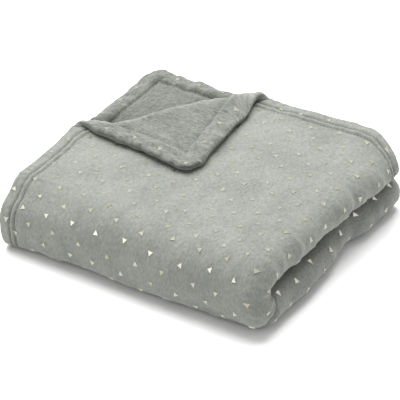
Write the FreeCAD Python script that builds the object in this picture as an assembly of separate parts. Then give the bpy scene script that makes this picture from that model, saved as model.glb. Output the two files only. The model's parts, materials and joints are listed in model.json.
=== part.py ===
import FreeCAD, Part
import math
import os

from FreeCAD import Placement, Rotation, Vector

# A plush throw, folded four times into sixteen sheets.
# +X runs along the front fold, +Y to the back, +Z up. Origin: middle of the base. Millimetres.

# Driving dimensions
WIDTH = 390.0          # along the front fold
DEPTH = 356.0          # front fold to back edge
PITCH = 5.9            # one sheet of the stack, with the air that its pile holds
GAP = 0.4              # free space between two sheets
SHEETS = 8             # sheets in the lower half, and again in the upper half
HEM = 26.0             # width of the turned and sewn edge
STITCH_INSET = 16.0    # edge to the outer thread row
STITCH_SPACING = 8.0   # outer thread row to the inner one
THREAD = 0.8           # width of a thread row
THREAD_RISE = 0.3      # height of a thread row over the cloth
CORNER_LEG = 188.0     # turned-back corner: from the corner to the crease, along each edge
FOIL_SIDE = 7.0        # side of a foil triangle
FOIL_PITCH = 40.0      # spacing of the foil triangles along a row
FOIL_ROW = 20.0        # row to row; every other row is shifted by half the spacing
FOIL_RISE = 0.2        # thickness of the foil print
CREASE_CLEARANCE = 2.0  # turned-back corner over the top sheet

# Places worked out from them
SHEET = PITCH - GAP
HALF = PITCH * SHEETS                  # height of the lower half
TOP = 2 * HALF                         # upper face of the top sheet
X_LEFT = -WIDTH / 2
X_RIGHT = WIDTH / 2
Y_FRONT = -DEPTH / 2
Y_BACK = DEPTH / 2
Y_BEND = Y_FRONT + HALF                # where the flat sheets pass into the front bend
X_FOLD = X_RIGHT - (HALF - GAP) / 2     # centre of the right-hand side folds
X_INNER = X_LEFT + 2 * PITCH           # centre of the left-hand side folds
Y_CREASE = Y_BACK - PITCH              # centre of the creases at the back of the lower half
HINGE_Z = TOP + CREASE_CLEARANCE / 2   # height of the crease of the turned-back corner
CREASE_SHIFT = Y_BACK - X_LEFT - CORNER_LEG   # the crease is the line y = x + CREASE_SHIFT

# Depths are counted in sheets from the outside of the folded stack: 0 is the outermost sheet.
# Each side fold joins the sheets at two depths.
RIGHT_FOLDS_OUTER = ((0, 7), (1, 6))
RIGHT_FOLDS_INNER = ((2, 5), (3, 4))
LEFT_FOLDS = ((4, 7), (5, 6))
HEMMED_LEFT = 4        # the sheets nearer the outside than this end in a hem at the left
PAIR_NAMES = ("outer", "second", "third", "inner")


def block(x0, x1, y0, y1, z0, z1):
    """Box from its low and high corners."""
    return Part.makeBox(x1 - x0, y1 - y0, z1 - z0, Vector(x0, y0, z0))


def flat_section(depth, x0, x1):
    """Section of one flat sheet, in the XZ plane."""
    low = depth * PITCH
    high = low + SHEET
    corners = [Vector(x0, 0, low), Vector(x1, 0, low), Vector(x1, 0, high), Vector(x0, 0, high)]
    return Part.Face(Part.makePolygon(corners + corners[:1]))


def fold_section(centre_x, depths, side):
    """Section of a side fold: the half ring that joins the sheets at two depths, bulging towards side."""
    outer = ((depths[1] - depths[0]) * PITCH + SHEET) / 2
    inner = outer - SHEET
    centre = Vector(centre_x, 0, depths[0] * PITCH + outer)
    up = Vector(0, 0, 1)
    out = Vector(side, 0, 0)
    edges = [
        Part.Arc(centre - up * outer, centre + out * outer, centre + up * outer).toShape(),
        Part.LineSegment(centre + up * outer, centre + up * inner).toShape(),
        Part.Arc(centre + up * inner, centre + out * inner, centre - up * inner).toShape(),
        Part.LineSegment(centre - up * inner, centre - up * outer).toShape(),
    ]
    return Part.Face(Part.Wire(edges))


def hem_section(depth):
    """Section of a hem at the left edge: a flat strip with a rounded outer edge."""
    low = depth * PITCH
    high = low + SHEET
    radius = SHEET / 2
    inner = X_LEFT + HEM
    outer = X_LEFT + radius
    edges = [
        Part.LineSegment(Vector(outer, 0, low), Vector(inner, 0, low)).toShape(),
        Part.LineSegment(Vector(inner, 0, low), Vector(inner, 0, high)).toShape(),
        Part.LineSegment(Vector(inner, 0, high), Vector(outer, 0, high)).toShape(),
        Part.Arc(Vector(outer, 0, high), Vector(X_LEFT, 0, low + radius), Vector(outer, 0, low)).toShape(),
    ]
    return Part.Face(Part.Wire(edges))


def run_lower(section, y_end):
    """The section carried along the lower half, from the bend to y_end."""
    start = section.translated(Vector(0, Y_BEND, 0))
    return start.extrude(Vector(0, y_end - Y_BEND, 0))


def run_upper(section, y_end):
    """The section carried along the upper half, which lies upside down on the lower one."""
    lower = run_lower(section, y_end)
    return lower.mirror(Vector(0, 0, HALF), Vector(0, 0, 1))


def run_bend(section):
    """The section carried round the front bend, from the lower half to the upper half."""
    start = section.translated(Vector(0, Y_BEND, 0))
    return start.revolve(Vector(0, Y_BEND, HALF), Vector(-1, 0, 0), 180)


def sheet_left(depth):
    """Left end of a flat sheet: at its hem, or at the side fold that it runs into."""
    return X_LEFT + HEM if depth < HEMMED_LEFT else X_INNER


def sheet_section(depth):
    """Section of the flat part of the sheet at this depth."""
    return flat_section(depth, sheet_left(depth), X_FOLD)


def right_sections(folds):
    """Sections of right-hand folds, one inside the other."""
    return [fold_section(X_FOLD, depths, 1) for depths in folds]


def left_sections():
    """Sections of the left-hand folds, one inside the other."""
    return [fold_section(X_INNER, depths, -1) for depths in LEFT_FOLDS]


def back_crease(depth, x0, x1):
    """Half-round crease at the back of the lower half, joining the sheets at depth and depth + 1."""
    radius = (PITCH + SHEET) / 2
    centre = Vector(x0, Y_CREASE, depth * PITCH + radius)
    tube = Part.makeCylinder(radius, x1 - x0, centre, Vector(1, 0, 0))
    bore = Part.makeCylinder(GAP / 2, x1 - x0, centre, Vector(1, 0, 0))
    behind = block(x0, x1, Y_CREASE, Y_CREASE + radius, 0, HALF)
    return tube.cut(bore).common(behind)


def back_hem(depth, x0, x1):
    """Hem along the back edge of the upper half, with a rounded outer edge."""
    high = TOP - depth * PITCH
    low = high - SHEET
    radius = SHEET / 2
    edge = Y_BACK - radius
    strip = block(x0, x1, Y_BACK - HEM, edge, low, high)
    lip = Part.makeCylinder(radius, x1 - x0, Vector(x0, edge, low + radius), Vector(1, 0, 0))
    return strip.fuse(lip).removeSplitter()


def corner_prism(low, high):
    """Everything on the corner side of the crease, between two heights."""
    far = DEPTH + WIDTH
    line = [Vector(X_LEFT - far, X_LEFT - far + CREASE_SHIFT, low),
            Vector(X_RIGHT, X_RIGHT + CREASE_SHIFT, low),
            Vector(X_LEFT - far, X_RIGHT + CREASE_SHIFT, low)]
    face = Part.Face(Part.makePolygon(line + line[:1]))
    return face.extrude(Vector(0, 0, high - low))


def without_corner(shape):
    """The part of a top-sheet shape that stays flat, in front of the crease."""
    return shape.cut(corner_prism(TOP - PITCH, TOP + PITCH))


def turned_corner(shape):
    """The corner part of a top-sheet shape, turned over onto the top sheet."""
    corner = shape.common(corner_prism(TOP - PITCH, TOP + PITCH))
    turn = Rotation(Vector(1, 1, 0), 180)
    return corner.transformed(Placement(Vector(), turn, crease_point()).toMatrix())


def crease_point():
    """A point on the crease, at the height that the corner turns about."""
    return Vector(X_LEFT, X_LEFT + CREASE_SHIFT, HINGE_Z)


def corner_crease():
    """The cloth bent round the crease of the turned-back corner."""
    start = Vector(X_LEFT + SHEET, X_LEFT + SHEET + CREASE_SHIFT, HINGE_Z)
    length = (CORNER_LEG - 2 * SHEET) * math.sqrt(2)
    axis = Vector(1, 1, 0)
    outer = Part.makeCylinder(CREASE_CLEARANCE / 2 + SHEET, length, start, axis)
    bore = Part.makeCylinder(CREASE_CLEARANCE / 2, length, start, axis)
    return outer.cut(bore).common(corner_prism(TOP - PITCH, TOP + 2 * PITCH))


def thread_rows(z):
    """Thread rows of the top sheet: two along the left edge and two along the back edge."""
    left_rows = []
    back_rows = []
    for row in range(2):
        inset = STITCH_INSET + row * STITCH_SPACING
        half = THREAD / 2
        x = X_LEFT + inset
        y = Y_BACK - inset
        left_rows.append(block(x - half, x + half, Y_BEND, y - THREAD, z, z + THREAD_RISE))
        back_rows.append(block(x + THREAD, X_FOLD, y - half, y + half, z, z + THREAD_RISE))
    return left_rows, back_rows


def foil_triangle(x, y, angle):
    """One foil triangle on the top sheet."""
    radius = FOIL_SIDE / math.sqrt(3)
    corners = []
    for i in range(3):
        turn = math.radians(angle + 120 * i)
        corners.append(Vector(x + radius * math.cos(turn), y + radius * math.sin(turn), TOP))
    face = Part.Face(Part.makePolygon(corners + corners[:1]))
    return face.extrude(Vector(0, 0, FOIL_RISE))


def foil_print():
    """Foil triangles over the flat top, clear of the hems, the threads and the turned-back corner."""
    triangles = []
    inset = STITCH_INSET + STITCH_SPACING + FOIL_SIDE
    x_low = X_LEFT + inset
    x_high = X_FOLD - FOIL_SIDE
    y_low = Y_BEND + FOIL_SIDE
    y_high = Y_BACK - inset
    tip_x = Y_BACK - CREASE_SHIFT + FOIL_SIDE
    tip_y = X_LEFT + CREASE_SHIFT - FOIL_SIDE
    row = 0
    y = y_low
    while y < y_high:
        x = x_low + (row % 2) * FOIL_PITCH / 2
        column = 0
        while x < x_high:
            under_corner = x < tip_x and y > tip_y
            if not under_corner:
                triangles.append(foil_triangle(x, y, 37 * row + 71 * column))
            x += FOIL_PITCH
            column += 1
        y += FOIL_ROW
        row += 1
    return triangles


def save(name, solids):
    """Write one node. Its solids stay separate."""
    shape = solids[0] if len(solids) == 1 else Part.makeCompound(solids)
    for solid in shape.Solids:
        if not solid.isValid() or solid.Volume <= 0:
            raise RuntimeError(name + " has a bad solid")
    shape.exportStep("parts/" + name + ".step")
    box = shape.BoundBox
    size = (box.XLength, box.YLength, box.ZLength)
    print("%-28s %2d solids  %8.1f cm3  %s" % (name, len(shape.Solids), shape.Volume / 1000,
                                             " x ".join("%.1f" % v for v in size)))


def lower_half():
    """The eight sheets that lie on the ground, in four pairs joined by creases at the back."""
    for pair, name in enumerate(PAIR_NAMES):
        depth = 2 * pair
        sheets = [run_lower(sheet_section(d), Y_CREASE) for d in (depth, depth + 1)]
        sheets.append(back_crease(depth, sheet_left(depth), X_FOLD))
        save("lower_%s_pair" % name, sheets)
    save("lower_right_fold_outer", [run_lower(s, Y_CREASE) for s in right_sections(RIGHT_FOLDS_OUTER)])
    save("lower_right_fold_inner", [run_lower(s, Y_CREASE) for s in right_sections(RIGHT_FOLDS_INNER)])
    save("lower_left_fold", [run_lower(s, Y_CREASE) for s in left_sections()])
    save("lower_left_hems", [run_lower(hem_section(depth), Y_CREASE) for depth in range(HEMMED_LEFT)])


def front_bend():
    """The cloth that goes round the front, from the lower half to the upper half."""
    for pair, name in enumerate(PAIR_NAMES):
        sheets = [run_bend(sheet_section(depth)) for depth in (2 * pair, 2 * pair + 1)]
        save("front_bend_%s" % name, sheets)
    right_folds = right_sections(RIGHT_FOLDS_OUTER + RIGHT_FOLDS_INNER)
    save("front_bend_right_fold", [run_bend(s) for s in right_folds])
    save("front_bend_left_fold", [run_bend(s) for s in left_sections()])
    save("front_bend_hems", [run_bend(hem_section(depth)) for depth in range(HEMMED_LEFT)])


def upper_half():
    """The eight sheets on top, whose back edges are all hemmed."""
    y_hem = Y_BACK - HEM
    top_sheet = run_upper(sheet_section(0), y_hem)
    save("top_sheet", [without_corner(top_sheet)])
    save("second_sheet", [run_upper(sheet_section(1), y_hem)])
    save("upper_second_pair", [run_upper(sheet_section(depth), y_hem) for depth in (2, 3)])
    save("upper_third_pair", [run_upper(sheet_section(depth), y_hem) for depth in (4, 5)])
    save("upper_inner_pair", [run_upper(sheet_section(depth), y_hem) for depth in (6, 7)])
    save("upper_right_fold_outer", [run_upper(s, Y_BACK) for s in right_sections(RIGHT_FOLDS_OUTER)])
    save("upper_right_fold_inner", [run_upper(s, Y_BACK) for s in right_sections(RIGHT_FOLDS_INNER)])
    save("upper_left_fold", [run_upper(s, Y_BACK) for s in left_sections()])
    save("top_left_hem", [without_corner(run_upper(hem_section(0), y_hem))])
    save("top_back_hem", [without_corner(back_hem(0, X_LEFT, X_FOLD))])
    save("second_left_hem", [run_upper(hem_section(1), y_hem)])
    save("second_back_hem", [back_hem(1, X_LEFT, X_FOLD)])
    save("upper_left_hems", [run_upper(hem_section(depth), y_hem) for depth in (2, 3)])
    back_hems = []
    for depth in range(2, SHEETS):
        left_end = X_LEFT if depth < HEMMED_LEFT else X_INNER
        back_hems.append(back_hem(depth, left_end, X_FOLD))
    save("upper_back_hems", back_hems)
    left_rows, back_rows = thread_rows(TOP)
    save("hem_threads_left", [without_corner(row) for row in left_rows])
    save("hem_threads_back", [without_corner(row) for row in back_rows])
    save("foil_triangles", foil_print())


def turned_back_corner():
    """The corner of the top sheet, lying face down on the top sheet."""
    y_hem = Y_BACK - HEM
    save("corner_flap", [turned_corner(run_upper(sheet_section(0), y_hem))])
    save("corner_left_hem", [turned_corner(run_upper(hem_section(0), y_hem))])
    save("corner_back_hem", [turned_corner(back_hem(0, X_LEFT, X_FOLD))])
    left_rows, back_rows = thread_rows(TOP - SHEET - THREAD_RISE)
    save("corner_threads", [turned_corner(row) for row in left_rows + back_rows])
    save("corner_crease", [corner_crease()])


os.makedirs("parts", exist_ok=True)
lower_half()
front_bend()
upper_half()
turned_back_corner()
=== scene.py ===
"""A plush throw, folded four times into sixteen sheets, with one corner turned back.

The whole throw is one cloth with its own coordinates: s runs across it from hem to hem, t along it from the
back hem of the top sheet, round the front bend, to the back hem of the second sheet. Every point of it is
folded into place by throw_points() or, beyond the crease of the turned corner, by corner_points(). side is 1
on the printed face and -1 on the plain one. Lengths are millimetres; meshes, lights and camera are in metres.
"""
import json
import math

import bmesh
import bpy
import numpy as np
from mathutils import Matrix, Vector


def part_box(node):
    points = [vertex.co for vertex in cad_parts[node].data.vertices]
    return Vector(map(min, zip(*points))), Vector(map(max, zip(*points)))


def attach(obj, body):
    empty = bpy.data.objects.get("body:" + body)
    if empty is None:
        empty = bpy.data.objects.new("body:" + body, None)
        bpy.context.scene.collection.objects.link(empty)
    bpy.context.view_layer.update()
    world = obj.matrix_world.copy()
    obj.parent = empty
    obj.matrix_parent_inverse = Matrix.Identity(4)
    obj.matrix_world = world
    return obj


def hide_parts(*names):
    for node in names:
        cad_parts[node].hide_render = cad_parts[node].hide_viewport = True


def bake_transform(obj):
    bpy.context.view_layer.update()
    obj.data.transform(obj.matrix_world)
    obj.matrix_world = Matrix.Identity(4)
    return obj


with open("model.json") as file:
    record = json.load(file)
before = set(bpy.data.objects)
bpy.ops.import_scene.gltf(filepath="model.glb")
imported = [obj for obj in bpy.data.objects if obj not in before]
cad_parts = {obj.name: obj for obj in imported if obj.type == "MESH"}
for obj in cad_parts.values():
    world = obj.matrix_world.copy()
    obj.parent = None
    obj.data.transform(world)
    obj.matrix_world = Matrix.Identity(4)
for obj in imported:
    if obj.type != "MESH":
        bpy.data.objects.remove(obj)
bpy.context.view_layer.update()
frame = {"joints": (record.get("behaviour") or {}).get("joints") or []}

METRE = 0.001


# ---------------------------------------------------------------- sizes, from the CAD frame
def corner_of(node, end):
    """Lowest (0) or highest (1) corner of a CAD node, in millimetres."""
    return np.array(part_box(node)[end]) / METRE


X_LEFT = corner_of("lower_left_hems", 0)[0]
X_FOLD = corner_of("upper_second_pair", 1)[0]      # centre of the right-hand side folds
Y_BEND = corner_of("top_sheet", 0)[1]              # the front bend starts here
Y_BACK = corner_of("second_back_hem", 1)[1]
TOP = corner_of("top_sheet", 1)[2]
HALF = TOP / 2
PITCH = TOP / 16
X_INNER = X_LEFT + 2 * PITCH                       # centre of the left-hand side folds
Y_CREASE = Y_BACK - PITCH                          # centre of the creases at the back
CREASE_START = next(j for j in frame["joints"] if j["name"] == "corner_turn")["pos_m"][1] / METRE
LEG = Y_BACK - CREASE_START                        # corner to crease, along each edge
CREASE_LENGTH = LEG * math.sqrt(2)

HALF_SHEET = 2.35           # half the thickness of one layer of the fleece
HEM_BAND = 25.0             # width of the turned edge
STITCH_ROWS = (16.0, 24.0)  # distance of the two stitch rows from the edge
FOIL_SIDE = 7.0
FOIL_ROW = 20.0             # spacing of the rows of foil triangles; every other row is shifted by as much
DIAGONAL = math.sqrt(0.5)   # x or y part of a unit step at 45 degrees


# ---------------------------------------------------------------- small helpers
def step(x, low, high):
    """Smooth step from 0 at low to 1 at high."""
    k = np.clip((x - low) / (high - low), 0, 1)
    return k * k * (3 - 2 * k)


def bump(x, middle, width):
    """Smooth bump, 1 at middle."""
    return np.exp(-((x - middle) / width) ** 2)


def through(x, knots, values):
    """Smooth curve through knots (monotone between them)."""
    knots, values = np.array(knots, float), np.array(values, float)
    x = np.clip(x, knots[0], knots[-1])
    i = np.clip(np.searchsorted(knots, x) - 1, 0, len(knots) - 2)
    slope = np.gradient(values, knots)
    gap = knots[i + 1] - knots[i]
    k = (x - knots[i]) / gap
    a, b = values[i], values[i + 1]
    return (a * (1 + 2 * k) * (1 - k) ** 2 + b * k * k * (3 - 2 * k)
            + gap * k * (1 - k) * (slope[i] * (1 - k) - slope[i + 1] * k))


NOISE_GRID = (97, 89)       # the noise repeats after as many cells
NOISE_START = (40.3, 37.7)  # cell in that grid where the plane's origin lies


def noise(a, b, cell, seed):
    """Smooth noise from -1 to 1 over the plane (a, b), with features about cell across."""
    table = np.random.default_rng(seed).uniform(-1, 1, NOISE_GRID)
    u, v = np.asarray(a) / cell + NOISE_START[0], np.asarray(b) / cell + NOISE_START[1]
    i, j = np.floor(u).astype(int), np.floor(v).astype(int)
    fu, fv = u - i, v - j
    fu, fv = fu * fu * (3 - 2 * fu), fv * fv * (3 - 2 * fv)

    def at(di, dj):
        return table[(i + di) % NOISE_GRID[0], (j + dj) % NOISE_GRID[1]]

    return ((at(0, 0) * (1 - fu) + at(1, 0) * fu) * (1 - fv)
            + (at(0, 1) * (1 - fu) + at(1, 1) * fu) * fv)


def line_noise(x, cell, seed):
    """The same along one line."""
    return noise(x, x * 0, cell, seed)


def unit_vectors(vectors):
    length = np.linalg.norm(vectors, axis=-1, keepdims=True)
    return vectors / np.maximum(length, 1e-9)


def add_object(name, data):
    """A new object in the scene that holds the mesh, light or camera."""
    obj = bpy.data.objects.new(name, data)
    bpy.context.scene.collection.objects.link(obj)
    return obj


# ---------------------------------------------------------------- the folds, across the throw
# Each run: length, kind, then a line's start, direction and outward normal, or an arc's centre, radius,
# first and last angle and the side its outward normal points to.
RUNS_ACROSS = (
    ("line", X_FOLD - X_LEFT, (X_LEFT, PITCH), (1, 0), (0, -1)),
    ("arc", math.pi * 3 * PITCH, (X_FOLD, 4 * PITCH), 3 * PITCH, (-90, 90), 1),
    ("line", X_FOLD - X_INNER, (X_FOLD, 7 * PITCH), (-1, 0), (0, 1)),
    ("arc", math.pi * PITCH, (X_INNER, 6 * PITCH), PITCH, (90, 270), 1),
    ("line", X_FOLD - X_INNER, (X_INNER, 5 * PITCH), (1, 0), (0, -1)),
    ("arc", math.pi * PITCH, (X_FOLD, 4 * PITCH), PITCH, (90, -90), -1),
    ("line", X_FOLD - X_LEFT, (X_FOLD, 3 * PITCH), (-1, 0), (0, 1)),
)
S_ENDS = np.concatenate([[0], np.cumsum([run[1] for run in RUNS_ACROSS])])
S_TOTAL = S_ENDS[-1]


def across(s):
    """Middle of the folded pair of sheets at s: x, depth, and the outward normal's x and depth."""
    x, n, nx, nn = (np.zeros_like(s) for _ in range(4))
    for k, run in enumerate(RUNS_ACROSS):
        here = (s >= S_ENDS[k]) & (s <= S_ENDS[k + 1])
        along = s[here] - S_ENDS[k]
        if run[0] == "line":
            start, direction, normal = run[2:]
            x[here] = start[0] + direction[0] * along
            n[here] = start[1] + direction[1] * along
            nx[here], nn[here] = normal
        else:
            centre, radius, (first, last), side = run[2:]
            turn = np.radians(first + (last - first) * along / run[1])
            x[here] = centre[0] + radius * np.cos(turn)
            n[here] = centre[1] + radius * np.sin(turn)
            nx[here], nn[here] = side * np.cos(turn), side * np.sin(turn)
    return x, n, nx, nn


# ---------------------------------------------------------------- the folds, along the throw
FLAT_UPPER = Y_BACK - Y_BEND
FLAT_LOWER = Y_CREASE - Y_BEND
RUNS_ALONG = (
    ("upper_1", FLAT_UPPER), ("bend_1", math.pi * (HALF - PITCH / 2)), ("lower_1", FLAT_LOWER),
    ("crease", math.pi * PITCH / 2), ("lower_2", FLAT_LOWER),
    ("bend_2", math.pi * (HALF - 1.5 * PITCH)), ("upper_2", FLAT_UPPER),
)
T_ENDS = np.concatenate([[0], np.cumsum([run[1] for run in RUNS_ALONG])])
T_TOTAL = T_ENDS[-1]


def along(t):
    """Place on the way along the throw: y, bend angle (0 below, pi above), offset in the pair and normal."""
    y, psi, o, ny, no = (np.zeros_like(t) for _ in range(5))
    for k, (name, length) in enumerate(RUNS_ALONG):
        here = (t >= T_ENDS[k]) & (t <= T_ENDS[k + 1])
        share = (t[here] - T_ENDS[k]) / length
        outer = k < 3
        o[here] = PITCH / 2 if outer else -PITCH / 2
        no[here] = 1 if outer else -1
        y[here] = Y_BEND
        if name == "upper_1":
            y[here] = Y_BACK - share * length
            psi[here] = math.pi
        elif name == "upper_2":
            y[here] = Y_BEND + share * length
            psi[here] = math.pi
        elif name == "lower_1":
            y[here] = Y_BEND + share * length
        elif name == "lower_2":
            y[here] = Y_CREASE - share * length
        elif name == "bend_1":
            psi[here] = math.pi * (1 - share)
        elif name == "bend_2":
            psi[here] = math.pi * share
        else:
            turn = math.pi * share
            y[here] = Y_CREASE + PITCH / 2 * np.sin(turn)
            o[here] = PITCH / 2 * np.cos(turn)
            ny[here], no[here] = np.sin(turn), np.cos(turn)
    return y, psi, o, ny, no


def hem_distance(s, t):
    """Distance to the nearest hemmed edge."""
    return np.minimum(np.minimum(s, S_TOTAL - s), np.minimum(t, T_TOTAL - t))


EDGE_ROUNDING = 3.6    # the hem's edge is rounded off over this width


def half_thickness(s, t, printed):
    """Half the thickness of the cloth on its printed or its plain face, with the relief of pile and hem."""
    d = np.maximum(hem_distance(s, t), 0)
    pile = 0.30 * noise(s, t, 3.4, 5 if printed else 6) + 0.14 * noise(s, t, 1.9, 7 if printed else 8)
    brushed = 0.35 * noise(s * 0.8, t, 17.0, 9 if printed else 10) + 0.3 * noise(s, t, 8.0, 12)
    band = 1 - step(d, HEM_BAND - 1, HEM_BAND + 4)
    depth = 1 + 0.35 * noise(s, t, 9.0, 14)
    if printed:
        h = HALF_SHEET + 1.2 * band
        for row in STITCH_ROWS:
            h = h - 2.1 * depth * bump(d, row, 1.8)
    else:
        h = HALF_SHEET + 1.6 * band - 2.3 * depth * bump(d, HEM_BAND + 0.5, 3.0)
        h = h + 0.6 * noise(s, t, 4.6, 15) + 0.7 * band * noise(s, t, 10.0, 16)
    puckers = 0.5 * band * noise(s, t, 6.0, 11) + 0.8 * band * noise(s, t, 14.0, 13)
    round_edge = np.sqrt(np.clip(1 - (1 - np.clip(d / EDGE_ROUNDING, 0, 1)) ** 2, 0, 1))
    return (h + puckers + pile + brushed) * round_edge


# ---------------------------------------------------------------- how the stack has settled
# Places and amounts in this section are chosen in millimetres over the plan of the stack.
def top_rise(x, y):
    """How far the upper face stands over (or under) its nominal height."""
    crown = 3.5 * bump(x, 20, 130) * bump(y, 60, 120)
    back_ridge = 8.5 * bump(x, 128, 66) * step(y, 90, 178)
    back_corner = -11 * step(x, 150, 205) * step(y, 40, 175)
    rise = crown + back_ridge + back_corner
    rise = rise - 3 * step(-x, 120, 195) + 4 * bump(x, -195, 50) * bump(y, 0, 35)
    rise = rise + 1.6 * noise(x, y, 62, 21) + 0.9 * noise(x, y, 27, 22)
    return rise


def front_rise(x, psi):
    """The same round the front bend: 0 at the floor, joining top_rise at the top."""
    turn = psi / math.pi
    rise = top_rise(x, np.full_like(x, Y_BEND)) * step(turn, 0.45, 1.0)
    rise = rise - 9 * step(-x, 40, 195) * bump(turn, 0.78, 0.16)
    # the belly of the bend sags forward, most at the left
    full = 5.5 + 4.5 * step(-x, 50, 180) - 4.5 * step(x, 80, 172)
    wrinkle = 2.4 * noise(x * 0.55, turn * 150, 34, 23) + 1.4 * noise(x, turn * 160, 22, 24)
    crumple = 2.2 * noise(x * 0.35, turn * 150, 11, 25) * step(x, -60, 60) * bump(turn, 0.16, 0.15)
    return rise + full * bump(turn, 0.25, 0.13) + wrinkle * bump(turn, 0.35, 0.22) + crumple


# How far the right-hand folds stand out: places from front to back, and the amount at each.
UPPER_NOSE = ((-178, -92, -64, -17, 24, 53, 90, 145, 178), (-8, -9, -6, -6, -2, -1, 3, 8, 5))
LOWER_NOSE = ((-178, -107, -13, 21, 61, 75, 114, 148, 178), (-4, 0, 1, -1, -3, 3, 6, 9, 7))


def nose_shift(y, psi):
    """How far the right-hand folds stand out past their nominal place."""
    upper = through(y, *UPPER_NOSE) + 1.7 * line_noise(y, 12, 31)
    lower = through(y, *LOWER_NOSE) + 1.7 * line_noise(y, 13, 32)
    ragged = 2.6 * line_noise(psi * HALF, 10, 33) * np.sin(psi)
    k = step(psi / math.pi, 0.3, 0.7)
    return lower + (upper - lower) * k + ragged


SLIP_REACH = 90        # a slipped hem takes the cloth this far in along with it


def left_hem_slip(y):
    """How far the left-hand hem of the outermost layer has slipped inwards."""
    return 3 + 2.0 * line_noise(y, 70, 41) - 4 * bump(y, -15, 40)


def back_hem_slip(x):
    """How far the back hem of the top sheet stands out behind its nominal place."""
    return 4 + 3.0 * line_noise(x, 60, 51)


def edge_shift(s, y, psi, o):
    """How far a left-hand hem has slipped inwards."""
    first_hem = s < S_TOTAL / 2
    outer = o > 0
    slip = np.where(first_hem & outer, left_hem_slip(y), 0.0)
    second_upper = 6 + 2.0 * line_noise(y, 60, 42) + 9 * step(y, 140, 186)
    second_lower = 5 + 2.5 * line_noise(y, 60, 43)
    k = step(psi / math.pi, 0.3, 0.9)
    slip = np.where(first_hem & ~outer, second_lower + (second_upper - second_lower) * k, slip)
    slip = np.where(~first_hem & outer, 3 + 3.0 * line_noise(y, 80, 44), slip)
    slip = np.where(~first_hem & ~outer, 8 + 3.0 * line_noise(y, 75, 45), slip)
    near = 1 - step(np.minimum(s, S_TOTAL - s), 0, SLIP_REACH)
    return slip * near


def back_shift(s, x, t):
    """How far a back hem stands out behind its nominal place."""
    top_hem = t < T_TOTAL / 2
    out = np.where(top_hem, back_hem_slip(x), 1 + 2.5 * line_noise(x, 70, 52))
    corner = 6 * (1 - step(x, -195, -120))
    out = out + np.where(top_hem, 0, corner)
    deeper_levels = np.floor(s / 380) * 1.7
    out = out - deeper_levels - 16 * step(x, 150, 200)
    near = 1 - step(np.minimum(t, T_TOTAL - t), 0, SLIP_REACH)
    return out * near


# ---------------------------------------------------------------- folding the throw
def crease_shift(q):
    """How far the crease of the turned corner has moved from its straight line: x and y."""
    share = q / CREASE_LENGTH
    bow = through(share, (0, 0.07, 0.18, 0.40, 0.60, 0.80, 1), (0, 9, 20, 17, 7, 3, 2))
    slide = 9 * step(share, 0.75, 1.0)
    return np.stack([bow + slide, slide - bow], -1) * DIAGONAL


def crease_coordinates(s, t):
    """Along the crease, and behind it: positive towards the corner."""
    return (s + LEG - t) / math.sqrt(2), (LEG - s - t) / math.sqrt(2)


def rounded(a, b, radius):
    """Distances from two hemmed edges, with the corner between them rounded off."""
    u = np.clip(1 - a / radius, 0, 1)
    v = np.clip(1 - b / radius, 0, 1)
    return (a + radius * u * (1 - np.sqrt(1 - v * v / 2)),
            b + radius * v * (1 - np.sqrt(1 - u * u / 2)))


def freed_rise(s, t):
    """How far the second sheet springs up where the turned corner no longer covers it."""
    a, b = s, T_TOTAL - t
    freed = step(LEG - 6 - a - b, 0, 30) * (b < LEG) * (a < LEG)
    knob = 4.5 * np.exp(-((a - 10) ** 2 + (b - 10) ** 2) / 17.0 ** 2)
    edge = np.minimum(a, b)
    lumps = 1.8 * noise(a, b, 13, 64) * (1 - step(edge, 18, 34))
    hollow = 4.0 * bump((LEG - a - b) * DIAGONAL, 24, 22) * step(edge, 14, 50)
    hem_roll = 2.0 * bump(edge, 12, 13)
    return freed * (2.2 + hem_roll + knob + lumps - hollow + 0.8 * noise(a, b, 25, 62))


def nose_groove(s, psi):
    """Valley across the right-hand fold where it turns out of the front bend into the lower half."""
    theta = np.clip((s - S_ENDS[1]) / (S_ENDS[2] - S_ENDS[1]), 0, 1) * 180
    on_nose = step(theta, 12, 50) * (1 - step(theta, 150, 180))
    return 7.5 * on_nose * bump(np.degrees(psi), 33 + 4 * np.sin(theta / 9), 9)


LOWEST = 0.15          # the cloth lies flat on the floor at this height


def throw_points(s, t, side):
    """Points of the cloth in the folded stack. side is 1 on the printed face, -1 on the plain one."""
    s, t = np.asarray(s, float), np.asarray(t, float)
    y, psi, o_mid, ny, no = along(t)
    h = np.where(side > 0, half_thickness(s, t, True), half_thickness(s, t, False)) * side
    o = o_mid + h * no - nose_groove(s, psi) * (no != 0)
    y = y + h * ny
    x, n, nx, nn = across(s)
    x, n = x + nx * o, n + nn * o
    x = x + edge_shift(s, y, psi, o_mid)
    y = y + back_shift(s, x, t)
    a, b = np.minimum(s, S_TOTAL - s), np.minimum(t, T_TOTAL - t)
    round_a, round_b = rounded(a, b, 20.0)
    x = x + round_a - a
    y = y - (round_b - b)
    x = x + nose_shift(y, psi) * step(x, 90, X_FOLD)
    # the crease of the turned corner is bowed, and the top sheet near it goes along
    q, behind = crease_coordinates(s, t)
    fade = np.exp(-np.maximum(-behind, 0) / 45) * (t < LEG * 1.9) * (s < LEG * 1.9)
    shift = crease_shift(q) * fade[..., None]
    x, y = x + shift[..., 0], y + shift[..., 1]
    rho = HALF - n + freed_rise(s, t)
    stretch = np.where(psi >= math.pi - 1e-9, top_rise(x, y), front_rise(x, psi)) / HALF
    rho = rho * (1 + np.where(psi > 1e-9, stretch, 0))
    z = HALF - rho * np.cos(psi)
    return np.stack([x, y - rho * np.sin(psi), np.maximum(z, LOWEST)], -1)


def top_surface(x, y):
    """Height of the middle of the top sheet."""
    return HALF + (HALF - PITCH / 2) * (1 + top_rise(x, y) / HALF)


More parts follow.
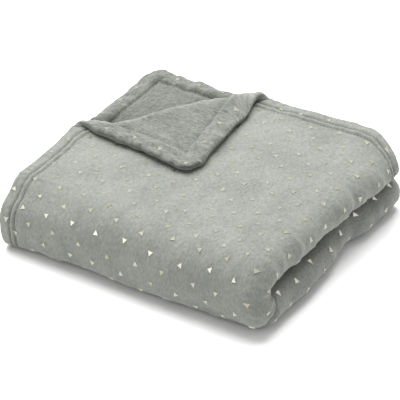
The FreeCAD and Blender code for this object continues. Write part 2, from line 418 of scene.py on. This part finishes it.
def roll_radius(q):
    """Radius of the roll that the cloth turns over at the crease."""
    return through(q / CREASE_LENGTH, (0, 0.15, 0.5, 0.8, 0.93, 1), (4.0, 5.2, 7.2, 6.6, 5.6, 4.4))


TIP_SHIFT = np.array([17.0, -24.0])     # how far the tip of the corner is pulled forward on the plan
TIP_LIFT = 4.0                          # air under the turned corner
FORWARD = np.array([1.0, -1.0]) * DIAGONAL


def crease_plan(q):
    """Plan of the crease at q: where it would be straight, and where it lies with bow and slip."""
    straight = np.stack([X_LEFT + q * DIAGONAL, CREASE_START + q * DIAGONAL], -1)
    bowed = straight + crease_shift(q)
    bowed[..., 0] += left_hem_slip(bowed[..., 1]) * (1 - step(q * DIAGONAL, 0, SLIP_REACH))
    bowed[..., 1] += back_hem_slip(bowed[..., 0]) * (1 - step((CREASE_LENGTH - q) * DIAGONAL, 0, SLIP_REACH))
    return straight, bowed


def corner_points(s, t, side):
    """Points of the corner that is turned back onto the top sheet."""
    s, t = np.asarray(s, float), np.asarray(t, float)
    q, behind = crease_coordinates(*rounded(s, t, 26.0))
    straight, start = crease_plan(q)
    # first half a roll at the crease, then the rest of this line of the cloth, to the edge that it ends on
    radius = roll_radius(q)
    roll_length = math.pi * radius
    turn = np.minimum(behind, roll_length) / radius
    width = np.minimum(q, CREASE_LENGTH - q)
    near_tip = np.clip(width / (CREASE_LENGTH / 2), 0, 1)
    edge = straight + FORWARD * width[..., None] + TIP_SHIFT * (near_tip ** 1.3)[..., None]
    reach = edge - start
    share = np.maximum(behind - roll_length, 0) / np.maximum(width - roll_length, 1e-6)
    share = np.clip(share, 0, 1) * step(width - roll_length, -2, 14)
    plan = start + reach * share[..., None]
    unit = reach / np.maximum(np.linalg.norm(reach, axis=-1, keepdims=True), 1e-6)
    back = -(unit * step(width, 0, 40)[..., None] + FORWARD * (1 - step(width, 0, 40))[..., None])
    plan = plan + back * (radius * np.sin(turn))[..., None]
    # from the top of the roll it falls until it lies on the top sheet
    high = top_surface(start[..., 0], start[..., 1]) + radius * (1 - np.cos(turn))
    rest = top_surface(plan[..., 0], plan[..., 1]) + 2 * HALF_SHEET + TIP_LIFT
    fall = step(np.linalg.norm(plan - start, axis=-1), 0, 62) * (turn >= math.pi - 1e-9)
    z = high + (rest - high) * fall
    d = hem_distance(s, t)
    z = z + fall * (1.3 * noise(s, t, 40, 61) + 2.2 * bump(d, 6, 16) * step(width, 20, 60))
    z = z + fall * 1.5 * noise(s, t, 14, 63) * (1 - step(d, 20, 36))
    plan = plan + unit * (share * 1.6 * line_noise(q, 12, 65))[..., None]
    # and its two faces stand off from that, with a thicker hem
    h = np.where(side > 0, half_thickness(s, t, True), half_thickness(s, t, False)) * side
    h = h * (1 + 0.25 * (1 - step(d, 18, 30)))
    plan = plan - back * (np.sin(turn) * h)[..., None]
    return np.concatenate([plan, (z + np.cos(turn) * h)[..., None]], -1)


def tone_and_painted_shade(s, t, printed, corner):
    """Multiplier on the pile's colour, about 1: random tone, with painted shade along the stitch rows and the
    seam, on the lower half and behind the turned crease, and a painted highlight on the crest of the turned
    crease.
    """
    d = hem_distance(s, t)
    uneven = 0.75 + 0.25 * noise(s, t, 7.0, 71)
    if printed:
        # painted shade along the stitch rows, where the grooves lie
        painted_shade = 1 - 0.38 * uneven * sum(bump(d, row, 1.7) for row in STITCH_ROWS)
        # painted shade: the printed face is darker on the lower half, where the pile points the other way
        painted_shade = painted_shade - 0.17 * step(t, T_ENDS[2] - 15, T_ENDS[2] + 25)
        return painted_shade + 0.05 * noise(s, t, 45, 73)
    # painted shade along the seam groove at the inner edge of the hem band
    painted_shade = 1 - 0.34 * uneven * bump(d, HEM_BAND + 0.5, 2.4)
    if corner:
        # painted highlight along the crest of the roll at the turned crease
        q, behind = crease_coordinates(s, t)
        return painted_shade + 0.45 * bump(behind, 2.6 * roll_radius(q) + 2.5, 4)
    # painted shade on the second sheet just behind the turned crease
    behind = (LEG - s - (T_TOTAL - t)) * DIAGONAL
    return painted_shade - 0.40 * bump(behind, 10, 22) * (s < LEG + 40)


# ---------------------------------------------------------------- meshes
def stations(parts):
    """Grid lines: (from, to, spacing) one after another."""
    out = [np.array([parts[0][0]])]
    for low, high, spacing in parts:
        count = max(1, int(round((high - low) / spacing)))
        out.append(np.linspace(low, high, count + 1)[1:])
    return np.concatenate(out)


RIM = (0.15, 0.5, 1.0, 1.7, 2.5, 3.4)      # close grid lines that round off a hemmed edge
RIM_GAP = 0.6


def hem_stations(lines, low=None, high=None):
    """Adds the close lines at a hemmed edge."""
    extra = []
    if low is not None:
        extra += [low + r for r in RIM]
        lines = lines[(lines <= low) | (lines > low + RIM[-1] + RIM_GAP)]
    if high is not None:
        extra += [high - r for r in RIM]
        lines = lines[(lines >= high) | (lines < high - RIM[-1] - RIM_GAP)]
    return np.unique(np.concatenate([lines, extra]))


HEM_MESH = 1.25        # spacing of the grid lines in a hem that shows
HEM_MESH_END = 30      # and how far from the edge they go on
FOLD_MESH = 2.4        # spacing round the small side folds
HIDDEN_MESH = 12.0     # spacing on flat sheets inside the stack


def s_lines(shown, nose):
    """Grid lines across the throw: shown is the spacing on the outer sheet, nose round the large fold."""
    e = S_ENDS
    parts = [(e[0], HEM_MESH_END, HEM_MESH), (HEM_MESH_END, e[1], shown), (e[1], e[2], nose),
             (e[2], e[3], HIDDEN_MESH), (e[3], e[4], FOLD_MESH), (e[4], e[5], HIDDEN_MESH),
             (e[5], e[6], FOLD_MESH), (e[6], e[7], HIDDEN_MESH)]
    return hem_stations(stations(parts), e[0], e[7])


def panel(lines_s, lines_t):
    """Flat grid mesh in the cloth's own coordinates."""
    bm = bmesh.new()
    grid = [[bm.verts.new((s, t, 0)) for s in lines_s] for t in lines_t]
    for j in range(len(lines_t) - 1):
        for i in range(len(lines_s) - 1):
            bm.faces.new((grid[j][i], grid[j][i + 1], grid[j + 1][i + 1], grid[j + 1][i]))
    return bm


def cut_corner(bm, keep_corner):
    """Cuts the panel along the crease of the turned corner."""
    geometry = bm.verts[:] + bm.edges[:] + bm.faces[:]
    bmesh.ops.bisect_plane(bm, geom=geometry, dist=1e-4, plane_co=(LEG, 0, 0), plane_no=(1, 1, 0),
                           clear_outer=keep_corner, clear_inner=not keep_corner)


def surface_normals(fold, s, t, side, reach=1.3):
    """Outward normals of one face of the folded cloth."""
    ds = fold(s + reach, t, side) - fold(s - reach, t, side)
    dt = fold(s, t + reach, side) - fold(s, t - reach, side)
    return unit_vectors(np.cross(dt, ds) * side)


def seam_normals(fold, s, t):
    """Normals on the lines where two pieces of the cloth meet, so that they shade as one; 0 elsewhere."""
    seam = np.min(np.abs(t[:, None] - T_ENDS[1:-1]), axis=1) < 1e-3
    normals = np.zeros((2 * len(s), 3))
    inner = seam & (s > 2) & (s < S_TOTAL - 2)
    normals[:len(s)][inner] = surface_normals(fold, s[inner], t[inner], 1)
    normals[len(s):][inner] = surface_normals(fold, s[inner], t[inner], -1)
    return normals


PRINTED_SLOT, PLAIN_SLOT, HEM_SLOT = 0, 1, 2


def closed_faces(bm, s, t):
    """Faces of a closed sheet over the panel, with the material slot of each: the printed face, the plain
    face and the rims between them. A corner of the plain face has the panel's index plus its corner count,
    but on a hemmed edge the two faces share their corners."""
    count = len(s)
    edge = hem_distance(s, t) < 1e-3
    other = np.where(edge, np.arange(count), np.arange(count) + count)
    band = hem_distance(s, t) < HEM_BAND + 0.6
    faces, slots = [], []
    for face in bm.faces:
        ids = [v.index for v in face.verts]
        faces.append(ids[::-1])
        slots.append(PRINTED_SLOT)
        faces.append([int(other[i]) for i in ids])
        slots.append(HEM_SLOT if all(band[i] for i in ids) else PLAIN_SLOT)
    for border in bm.edges:
        if len(border.link_faces) != 1:
            continue
        loop = border.link_loops[0]
        a, b = loop.vert.index, loop.link_loop_next.vert.index
        ring = [a, b, int(other[b]), int(other[a])]
        ring = [v for k, v in enumerate(ring) if v != ring[k - 1]]
        if len(set(ring)) >= 3:
            faces.append(ring)
            slots.append(HEM_SLOT)
    return faces, slots


PLAIN_OFFSET = 300     # moves the plain face's texture coordinates away from the printed face's


def closed_cloth(name, bm, fold):
    """A closed sheet of the throw, folded from a flat panel."""
    bm.verts.index_update()
    st = np.array([v.co[:2] for v in bm.verts])
    s, t = st[:, 0], st[:, 1]
    faces, slots = closed_faces(bm, s, t)
    bm.free()
    points = np.concatenate([fold(s, t, 1), fold(s, t, -1)])
    cloth = np.concatenate([np.stack([s, t, s * 0], -1), np.stack([s, t, s * 0 + PLAIN_OFFSET], -1)]) * METRE
    normals = seam_normals(fold, s, t)
    used = np.unique(np.concatenate([np.array(f) for f in faces]))
    place = -np.ones(len(points), int)
    place[used] = np.arange(len(used))
    mesh = bpy.data.meshes.new(name)
    mesh.from_pydata((points[used] * METRE).tolist(), [], [[int(place[i]) for i in f] for f in faces])
    mesh.polygons.foreach_set("material_index", np.array(slots, np.int32))
    mesh.polygons.foreach_set("use_smooth", np.ones(len(faces), bool))
    attribute = mesh.attributes.new("cloth", "FLOAT_VECTOR", "POINT")
    attribute.data.foreach_set("vector", cloth[used].astype(np.float32).ravel())
    corner = fold is corner_points
    # random tone of the pile with painted shade and painted highlight, handed to the materials as a point
    # attribute
    tones_and_painted_shades = np.concatenate([tone_and_painted_shade(s, t, True, corner), tone_and_painted_shade(s, t, False, corner)])
    attribute = mesh.attributes.new("tone_and_painted_shade", "FLOAT", "POINT")
    attribute.data.foreach_set("value", tones_and_painted_shades[used].astype(np.float32))
    mesh.update()
    mesh.normals_split_custom_set_from_vertices(normals[used].tolist())
    for material in (PRINTED, PLAIN, HEM):
        mesh.materials.append(material)
    return add_object(name, mesh)


def small_pieces(name, centres, turns, fold, side, template, faces, material, stiffness=0.0):
    """Many small closed pieces laid on the cloth. Each template row is its place along and across the
    piece and its height over the cloth. stiffness 1 keeps each piece flat, 0 lets it follow the pile."""
    along_piece, across_piece, lift = np.array(template, float).T
    cos, sin = np.cos(turns)[:, None], np.sin(turns)[:, None]
    s = centres[:, :1] + along_piece * cos - across_piece * sin
    t = centres[:, 1:] + along_piece * sin + across_piece * cos
    flat_s, flat_t = s.ravel(), t.ravel()
    size = len(template)
    normal = surface_normals(fold, flat_s, flat_t, side, 0.8)
    points = fold(flat_s, flat_t, side)
    if stiffness:
        groups = points.reshape(len(centres), size, 3)
        facing = unit_vectors(normal.reshape(len(centres), size, 3).mean(axis=1, keepdims=True))
        out = ((groups - groups.mean(axis=1, keepdims=True)) * facing).sum(axis=-1, keepdims=True)
        points = (groups - stiffness * out * facing).reshape(-1, 3)
        normal = np.repeat(facing[:, 0], size, axis=0)
    points = points + normal * np.tile(lift, len(centres))[:, None]
    below_floor = -points[:, 2].reshape(len(centres), size).min(axis=1)
    points[:, 2] += np.repeat(np.maximum(below_floor, 0), size)
    mesh = bpy.data.meshes.new(name)
    all_faces = [[i + k * size for i in face] for k in range(len(centres)) for face in faces]
    mesh.from_pydata((points * METRE).tolist(), [], all_faces)
    mesh.update()
    mesh.materials.append(material)
    return add_object(name, mesh)


FOIL_TOP, FOIL_FOOT = 0.70, -0.30      # heights of a triangle's two faces over the cloth


def foil_template():
    """A thin triangle in nine small ones, so that it bends with the cloth."""
    rows = 3
    corners = [(FOIL_SIDE / math.sqrt(3) * math.cos(k * math.tau / 3),
                FOIL_SIDE / math.sqrt(3) * math.sin(k * math.tau / 3)) for k in range(3)]
    flat, index = [], {}
    for i in range(rows + 1):
        for j in range(rows + 1 - i):
            weights = (i / rows, j / rows, (rows - i - j) / rows)
            index[i, j] = len(flat)
            flat.append([sum(w * c[axis] for w, c in zip(weights, corners)) for axis in range(2)])
    count = len(flat)
    template = [(*p, FOIL_TOP) for p in flat] + [(*p, FOIL_FOOT) for p in flat]
    top = []
    for i in range(rows):
        for j in range(rows - i):
            top.append((index[i, j], index[i + 1, j], index[i, j + 1]))
            if j < rows - i - 1:
                top.append((index[i + 1, j], index[i + 1, j + 1], index[i, j + 1]))
    ring = ([index[i, 0] for i in range(rows)] + [index[rows - j, j] for j in range(rows)]
            + [index[0, rows - j] for j in range(rows)])
    faces = [f[::-1] for f in top] + [tuple(v + count for v in f) for f in top]
    for k, v in enumerate(ring):
        w = ring[(k + 1) % len(ring)]
        faces.append((v, w, w + count, v + count))
    return template, faces


# A stitch: the place along it, half the thickness of the thread there, and its height over the cloth.
STITCH = ((-1.7, 0.12, -0.25), (-0.9, 0.30, 0.30), (0.9, 0.30, 0.30), (1.7, 0.12, -0.25))


def stitch_template():
    """One stitch: a short thread that dips into the cloth at both ends."""
    template, faces = [], []
    for place, thick, height in STITCH:
        template += [(place, -thick, height), (place, 0, height + thick),
                     (place, thick, height), (place, 0, height - thick)]
    for ring in range(3):
        for k in range(4):
            m = (k + 1) % 4
            faces.append((4 * ring + k, 4 * ring + m, 4 * ring + 4 + m, 4 * ring + 4 + k))
    faces += [(3, 2, 1, 0), (12, 13, 14, 15)]
    return template, faces


FOIL_TURNS = np.radians([8, 35, 62, 95, 170, 205, 260, 310])    # the ways a triangle points
FOIL_SCATTER = 4.0     # a triangle lies up to this far from its place in the rows, in s and in t


def foil_centres():
    """Centres and turns of the printed triangles over the whole cloth."""
    draw = np.random.default_rng(11)
    rows, columns = int(T_TOTAL / FOIL_ROW), int(S_TOTAL / FOIL_ROW)
    j, i = np.meshgrid(np.arange(rows), np.arange(columns), indexing="ij")
    keep = (i + j) % 2 == 0
    s, t = i[keep] * FOIL_ROW + 9.0, j[keep] * FOIL_ROW + 12.0
    s = s + draw.uniform(-FOIL_SCATTER, FOIL_SCATTER, s.shape)
    t = t + draw.uniform(-FOIL_SCATTER, FOIL_SCATTER, t.shape)
    turns = draw.choice(FOIL_TURNS, s.shape)
    return np.stack([s, t], -1), turns


# ---------------------------------------------------------------- materials
def new_material(name):
    """A material with its nodes, its links and its shader."""
    material = bpy.data.materials.new(name)
    material.use_nodes = True
    nodes = material.node_tree.nodes
    return material, nodes, material.node_tree.links, nodes["Principled BSDF"]


def fleece(name, dark, light, spread, curl, fibre_scale, stroke_relief, fibre_relief, sheen):
    """Brushed plush: soft pile with lighter and darker strokes. spread is how much of the noise goes from
    dark to light, curl how much the fibres wind, and the two reliefs are depths in metres."""
    material, nodes, links, shader = new_material(name)
    cloth = nodes.new("ShaderNodeAttribute")
    cloth.attribute_name = "cloth"
    stroke_map = nodes.new("ShaderNodeMapping")
    stroke_map.inputs["Scale"].default_value = (1.0, 0.55, 1.0)
    links.new(cloth.outputs["Vector"], stroke_map.inputs["Vector"])

    def noise_texture(scale, detail, roughness, distortion, vector):
        texture = nodes.new("ShaderNodeTexNoise")
        texture.inputs["Scale"].default_value = scale
        texture.inputs["Detail"].default_value = detail
        texture.inputs["Roughness"].default_value = roughness
        texture.inputs["Distortion"].default_value = distortion
        links.new(vector, texture.inputs["Vector"])
        return texture.outputs["Fac"]

    def mixed(factor, a, b):
        mix = nodes.new("ShaderNodeMix")
        mix.data_type = "FLOAT"
        mix.inputs["Factor"].default_value = factor
        links.new(a, mix.inputs["A"])
        links.new(b, mix.inputs["B"])
        return mix.outputs["Result"]

    def relief(height, distance, normal=None):
        node = nodes.new("ShaderNodeBump")
        node.inputs["Strength"].default_value = 0.8
        node.inputs["Distance"].default_value = distance
        links.new(height, node.inputs["Height"])
        if normal is not None:
            links.new(normal, node.inputs["Normal"])
        return node.outputs["Normal"]

    strokes = noise_texture(38, 4, 0.6, 0.6, stroke_map.outputs["Vector"])
    fibre = noise_texture(fibre_scale, 1.5, 0.6, curl, stroke_map.outputs["Vector"])
    ramp = nodes.new("ShaderNodeValToRGB")
    ramp.color_ramp.elements[0].position = 0.5 - spread
    ramp.color_ramp.elements[0].color = (*dark, 1)
    ramp.color_ramp.elements[1].position = 0.5 + spread
    ramp.color_ramp.elements[1].color = (*light, 1)
    links.new(mixed(0.6, strokes, fibre), ramp.inputs["Fac"])
    # the colour is scaled by the cloth's random tone with painted shade and painted highlight
    pile = nodes.new("ShaderNodeAttribute")
    pile.attribute_name = "tone_and_painted_shade"
    painted_shade = nodes.new("ShaderNodeVectorMath")
    painted_shade.operation = "SCALE"
    links.new(ramp.outputs["Color"], painted_shade.inputs["Vector"])
    links.new(pile.outputs["Fac"], painted_shade.inputs["Scale"])
    links.new(painted_shade.outputs["Vector"], shader.inputs["Base Color"])
    normal = relief(fibre, fibre_relief, relief(strokes, stroke_relief))
    links.new(normal, shader.inputs["Normal"])
    shader.inputs["Roughness"].default_value = 0.92
    shader.inputs["Specular IOR Level"].default_value = 0.12
    shader.inputs["Sheen Weight"].default_value = sheen
    shader.inputs["Sheen Roughness"].default_value = 0.45
    shader.inputs["Sheen Tint"].default_value = (0.93, 0.95, 0.91, 1)
    return material


def foil_material():
    """Pale gold foil with fine grain, a little duller in patches."""
    material, nodes, links, shader = new_material("gold_foil")
    place = nodes.new("ShaderNodeTexCoord")
    grain = nodes.new("ShaderNodeTexNoise")
    grain.inputs["Scale"].default_value = 900
    grain.inputs["Detail"].default_value = 2
    links.new(place.outputs["Object"], grain.inputs["Vector"])
    patches = nodes.new("ShaderNodeTexNoise")
    patches.inputs["Scale"].default_value = 55
    links.new(place.outputs["Object"], patches.inputs["Vector"])
    ramp = nodes.new("ShaderNodeValToRGB")
    ramp.color_ramp.elements[0].position = 0.35
    ramp.color_ramp.elements[0].color = (0.78, 0.74, 0.56, 1)
    ramp.color_ramp.elements[1].position = 0.62
    ramp.color_ramp.elements[1].color = (0.99, 0.97, 0.82, 1)
    links.new(patches.outputs["Fac"], ramp.inputs["Fac"])
    links.new(ramp.outputs["Color"], shader.inputs["Base Color"])
    rough = nodes.new("ShaderNodeMapRange")
    rough.inputs["To Min"].default_value = 0.16
    rough.inputs["To Max"].default_value = 0.34
    links.new(grain.outputs["Fac"], rough.inputs["Value"])
    links.new(rough.outputs["Result"], shader.inputs["Roughness"])
    relief = nodes.new("ShaderNodeBump")
    relief.inputs["Strength"].default_value = 0.25
    relief.inputs["Distance"].default_value = 0.0003
    links.new(grain.outputs["Fac"], relief.inputs["Height"])
    links.new(relief.outputs["Normal"], shader.inputs["Normal"])
    shader.inputs["Metallic"].default_value = 0.95
    return material


def thread_material():
    """Twisted sewing thread, darker than the cloth."""
    material, nodes, links, shader = new_material("thread")
    place = nodes.new("ShaderNodeTexCoord")
    twist = nodes.new("ShaderNodeTexWave")
    twist.inputs["Scale"].default_value = 900
    twist.inputs["Distortion"].default_value = 2
    links.new(place.outputs["Object"], twist.inputs["Vector"])
    ramp = nodes.new("ShaderNodeValToRGB")
    ramp.color_ramp.elements[0].color = (0.075, 0.080, 0.070, 1)
    ramp.color_ramp.elements[1].color = (0.16, 0.168, 0.148, 1)
    links.new(twist.outputs["Fac"], ramp.inputs["Fac"])
    links.new(ramp.outputs["Color"], shader.inputs["Base Color"])
    relief = nodes.new("ShaderNodeBump")
    relief.inputs["Strength"].default_value = 0.6
    relief.inputs["Distance"].default_value = 0.0002
    links.new(twist.outputs["Fac"], relief.inputs["Height"])
    links.new(relief.outputs["Normal"], shader.inputs["Normal"])
    shader.inputs["Roughness"].default_value = 0.6
    return material


THREAD = thread_material()
PRINTED = fleece("fleece_printed", dark=(0.150, 0.158, 0.142), light=(0.250, 0.258, 0.236),
                 spread=0.20, curl=0.4, fibre_scale=360,
                 stroke_relief=0.0009, fibre_relief=0.0012, sheen=0.45)
PLAIN = fleece("fleece_plain", dark=(0.084, 0.089, 0.079), light=(0.182, 0.190, 0.168),
               spread=0.17, curl=1.2, fibre_scale=290,
               stroke_relief=0.0014, fibre_relief=0.0032, sheen=0.75)
HEM = fleece("fleece_hem", dark=(0.084, 0.089, 0.078), light=(0.192, 0.200, 0.178),
             spread=0.17, curl=0.9, fibre_scale=310,
             stroke_relief=0.0014, fibre_relief=0.0028, sheen=0.75)
FOIL = foil_material()


# ---------------------------------------------------------------- pieces of the cloth
SHOWN_MESH = 2.6       # spacing of the grid lines on the sheets that show


def t_range(first, last, spacing):
    """Grid lines along the throw, from one of T_ENDS to another."""
    return stations([(T_ENDS[first], T_ENDS[last], spacing)])


shown_s = s_lines(shown=SHOWN_MESH, nose=SHOWN_MESH)
upper_t = hem_stations(stations([(0, HEM_MESH_END, HEM_MESH), (HEM_MESH_END, T_ENDS[1], SHOWN_MESH)]), low=0)
top_panel = panel(shown_s, upper_t)
cut_corner(top_panel, keep_corner=False)
top_cloth = closed_cloth("throw_top_cloth", top_panel, throw_points)

corner_panel = panel(shown_s[shown_s < LEG + 3], upper_t[upper_t < LEG + 3])
cut_corner(corner_panel, keep_corner=True)
corner_cloth = closed_cloth("throw_corner", corner_panel, corner_points)

bend_cloth = closed_cloth("throw_front_bend", panel(shown_s, t_range(1, 2, SHOWN_MESH)), throw_points)
lower_t = np.unique(np.concatenate([t_range(2, 3, 5.0), t_range(3, 4, 1.2), t_range(4, 5, HIDDEN_MESH)]))
lower_panel = panel(s_lines(shown=5.0, nose=SHOWN_MESH), lower_t)
lower_cloth = closed_cloth("throw_lower_cloth", lower_panel, throw_points)
inner_panel = panel(s_lines(shown=6.0, nose=3.2), t_range(5, 6, 4.0))
inner_bend = closed_cloth("throw_inner_bend", inner_panel, throw_points)
second_t = hem_stations(stations([(T_ENDS[6], T_TOTAL - 120, 5.0),
                                  (T_TOTAL - 120, T_TOTAL - HEM_MESH_END, 3.0),
                                  (T_TOTAL - HEM_MESH_END, T_TOTAL, HEM_MESH)]), high=T_TOTAL)
second_cloth = closed_cloth("throw_second_cloth", panel(s_lines(shown=3.5, nose=3.2), second_t), throw_points)

# ---------------------------------------------------------------- foil print and stitches
CENTRES, TURNS = foil_centres()
CLEAR = 4.5            # a triangle's centre is at least this far from the edge of the cloth
FOIL_STIFFNESS = 0.85
BEHIND_CREASE = LEG - CENTRES[:, 0] - CENTRES[:, 1]
BETWEEN = [(CENTRES[:, 1] > T_ENDS[k]) & (CENTRES[:, 1] <= T_ENDS[k + 1]) for k in range(3)]
SHOWN_ACROSS = (CENTRES[:, 0] > CLEAR) & (CENTRES[:, 0] < S_ENDS[3])
CLEAR_BACK = CENTRES[:, 1] > CLEAR
IN_BAND = (CENTRES[:, 0] < HEM_BAND - 5) | (CENTRES[:, 1] < HEM_BAND - 5)


def foil(name, chosen, fold, side=1, centres=CENTRES):
    """The chosen triangles as one piece."""
    piece = small_pieces(name, centres[chosen], TURNS[chosen], fold, side, *foil_template(), FOIL,
                         FOIL_STIFFNESS)
    return piece


top_foil = foil("foil_top", BETWEEN[0] & SHOWN_ACROSS & CLEAR_BACK & (BEHIND_CREASE < -5), throw_points)
front_foil = foil("foil_front", BETWEEN[1] & SHOWN_ACROSS, throw_points)
lower_foil = foil("foil_lower", BETWEEN[2] & SHOWN_ACROSS, throw_points)
corner_foil = foil("foil_corner", SHOWN_ACROSS & CLEAR_BACK & (BEHIND_CREASE > 28), corner_points)
corner_band_foil = foil("foil_corner_band", SHOWN_ACROSS & CLEAR_BACK & IN_BAND & (BEHIND_CREASE > 10),
                        corner_points, -1)
# the second sheet's corner is the same pattern, counted from its own back hem
second_centres = CENTRES.copy()
second_centres[:, 1] = T_TOTAL - CENTRES[:, 1]
second_band_foil = foil("foil_second_band", SHOWN_ACROSS & CLEAR_BACK & IN_BAND & (BEHIND_CREASE > -20),
                        throw_points, -1, second_centres)

STITCH_STEP = 4.6      # from one stitch to the next


def stitch_row(first, last, other, down):
    """Centres and turns of stitches along one row: down runs along t, else along s."""
    places = np.arange(first + 2.5, last - 2.0, STITCH_STEP)
    rest = np.full_like(places, other)
    centres = np.stack([rest, places] if down else [places, rest], -1)
    return centres, np.full(len(places), math.pi / 2 if down else 0.0)


def stitches(name, rows, fold, side=1):
    """Rows of stitches as one piece."""
    centres = np.concatenate([r[0] for r in rows])
    turns = np.concatenate([r[1] for r in rows])
    piece = small_pieces(name, centres, turns, fold, side, *stitch_template(), THREAD)
    return piece


def top_rows(inset):
    """Down the left hem of the top sheet and along its back hem."""
    return [stitch_row(LEG - inset, T_ENDS[1], inset, True), stitch_row(LEG - inset, S_ENDS[2], inset, False)]


def left_rows(first, last):
    """Both rows of the left hem, over part of its way."""
    return [stitch_row(first, last, inset, True) for inset in STITCH_ROWS]


def corner_rows(inset):
    """Along both hems of the turned corner."""
    return [stitch_row(inset, LEG - inset, inset, True), stitch_row(inset, LEG - inset, inset, False)]


def second_rows(inset):
    """Along both hems of the second sheet, where the turned corner leaves them free."""
    return [stitch_row(T_TOTAL - LEG - 20, T_TOTAL - inset, inset, True),
            stitch_row(inset, LEG + 20, T_TOTAL - inset, False)]


# The plain face shows the inner row only, beside the groove at the turned edge.
edge_row, inner_row = STITCH_ROWS
top_stitches = stitches("stitches_top", top_rows(edge_row) + top_rows(inner_row), throw_points)
front_stitches = stitches("stitches_front", left_rows(T_ENDS[1], T_ENDS[2]), throw_points)
lower_stitches = stitches("stitches_lower", left_rows(T_ENDS[2], T_ENDS[3]), throw_points)
corner_stitches = stitches("stitches_corner", corner_rows(inner_row), corner_points, -1)
corner_face_stitches = stitches("stitches_corner_face", corner_rows(edge_row) + corner_rows(inner_row),
                                corner_points)
second_stitches = stitches("stitches_second", second_rows(inner_row), throw_points, -1)

# ---------------------------------------------------------------- floor
FLOOR_REACH = 6        # metres from the middle to each side
FLOOR_DROP = 0.0004    # metres under the cloth, so that the two don't touch

floor_corners = [(x * FLOOR_REACH, y * FLOOR_REACH, 0) for x, y in ((-1, -1), (1, -1), (1, 1), (-1, 1))]
floor_mesh = bpy.data.meshes.new("floor")
floor_mesh.from_pydata(floor_corners, [], [(0, 1, 2, 3)])
floor = add_object("floor", floor_mesh)
floor.location.z = -FLOOR_DROP
floor_material, _, _, floor_shader = new_material("floor")
floor_shader.inputs["Base Color"].default_value = (0.93, 0.93, 0.93, 1)
floor_shader.inputs["Roughness"].default_value = 0.9
floor_shader.inputs["Specular IOR Level"].default_value = 0.0
floor_mesh.materials.append(floor_material)
floor.visible_glossy = False       # the foil doesn't mirror it

# ---------------------------------------------------------------- riding
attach(top_cloth, "upper_half")
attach(second_cloth, "upper_half")
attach(lower_cloth, "lower_half")
for piece in (top_foil, second_band_foil, top_stitches, second_stitches):
    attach(piece, "upper_half")
for piece in (lower_foil, lower_stitches):
    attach(piece, "lower_half")
# the front bend: its two halves meet at the height of the fold
for piece in (bend_cloth, inner_bend, front_foil, front_stitches):
    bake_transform(piece)


for piece in (corner_cloth, corner_foil, corner_band_foil, corner_stitches, corner_face_stitches):
    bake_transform(piece)

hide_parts("top_sheet", "top_left_hem", "top_back_hem", "upper_right_fold_outer",
            "upper_left_fold", "upper_inner_pair")
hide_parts("second_sheet", "second_left_hem", "second_back_hem", "upper_second_pair",
            "upper_third_pair", "upper_right_fold_inner", "upper_left_hems", "upper_back_hems")
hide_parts("lower_outer_pair", "lower_second_pair", "lower_third_pair",
            "lower_inner_pair", "lower_right_fold_outer", "lower_right_fold_inner", "lower_left_fold",
            "lower_left_hems")
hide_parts("front_bend_outer", "front_bend_right_fold", "front_bend_left_fold",
            "front_bend_hems", "front_bend_third", "front_bend_inner")
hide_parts("front_bend_second")
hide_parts("corner_flap", "corner_left_hem", "corner_back_hem", "corner_crease")
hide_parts("corner_threads")
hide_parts("hem_threads_left", "hem_threads_back")
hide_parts("foil_triangles")

# ---------------------------------------------------------------- light, camera
scene = bpy.context.scene
scene.view_settings.view_transform = "Standard"
scene.world = bpy.data.worlds.new("studio")
scene.world.use_nodes = True
surroundings = scene.world.node_tree.nodes["Background"]
surroundings.inputs["Color"].default_value = (1, 1, 1, 1)
surroundings.inputs["Strength"].default_value = 0.62

STACK_MIDDLE = Vector((0, 0, 0.05))


def area_light(name, place, size, watts, mirrored):
    """A round soft light turned to the stack. mirrored says whether the foil shows it."""
    data = bpy.data.lights.new(name, "AREA")
    data.shape = "DISK"
    data.size = size
    data.energy = watts
    lamp = add_object(name, data)
    lamp.location = place
    lamp.visible_glossy = mirrored
    lamp.rotation_mode = "QUATERNION"
    lamp.rotation_quaternion = (STACK_MIDDLE - Vector(place)).to_track_quat("-Z", "Y")


area_light("key", place=(-0.62, 0.55, 2.2), size=2.6, watts=120, mirrored=False)
area_light("fill", place=(-1.26, -2.08, 1.76), size=2.9, watts=10, mirrored=True)

AZIMUTH, ELEVATION, DISTANCE = math.radians(31.44), math.radians(33.97), 2.400
TARGET = Vector((-0.00955, 0.01290, 0.0300))
towards_camera = Vector((math.sin(AZIMUTH) * math.cos(ELEVATION), -math.cos(AZIMUTH) * math.cos(ELEVATION),
                         math.sin(ELEVATION)))
camera_data = bpy.data.cameras.new("camera")
camera_data.sensor_width, camera_data.lens = 36, 165.996
camera_data.clip_start, camera_data.clip_end = 0.1, 50
camera = add_object("camera", camera_data)
camera.location = TARGET + towards_camera * DISTANCE
camera.rotation_mode = "QUATERNION"
camera.rotation_quaternion = (-towards_camera).to_track_quat("-Z", "Y")
scene.camera = camera
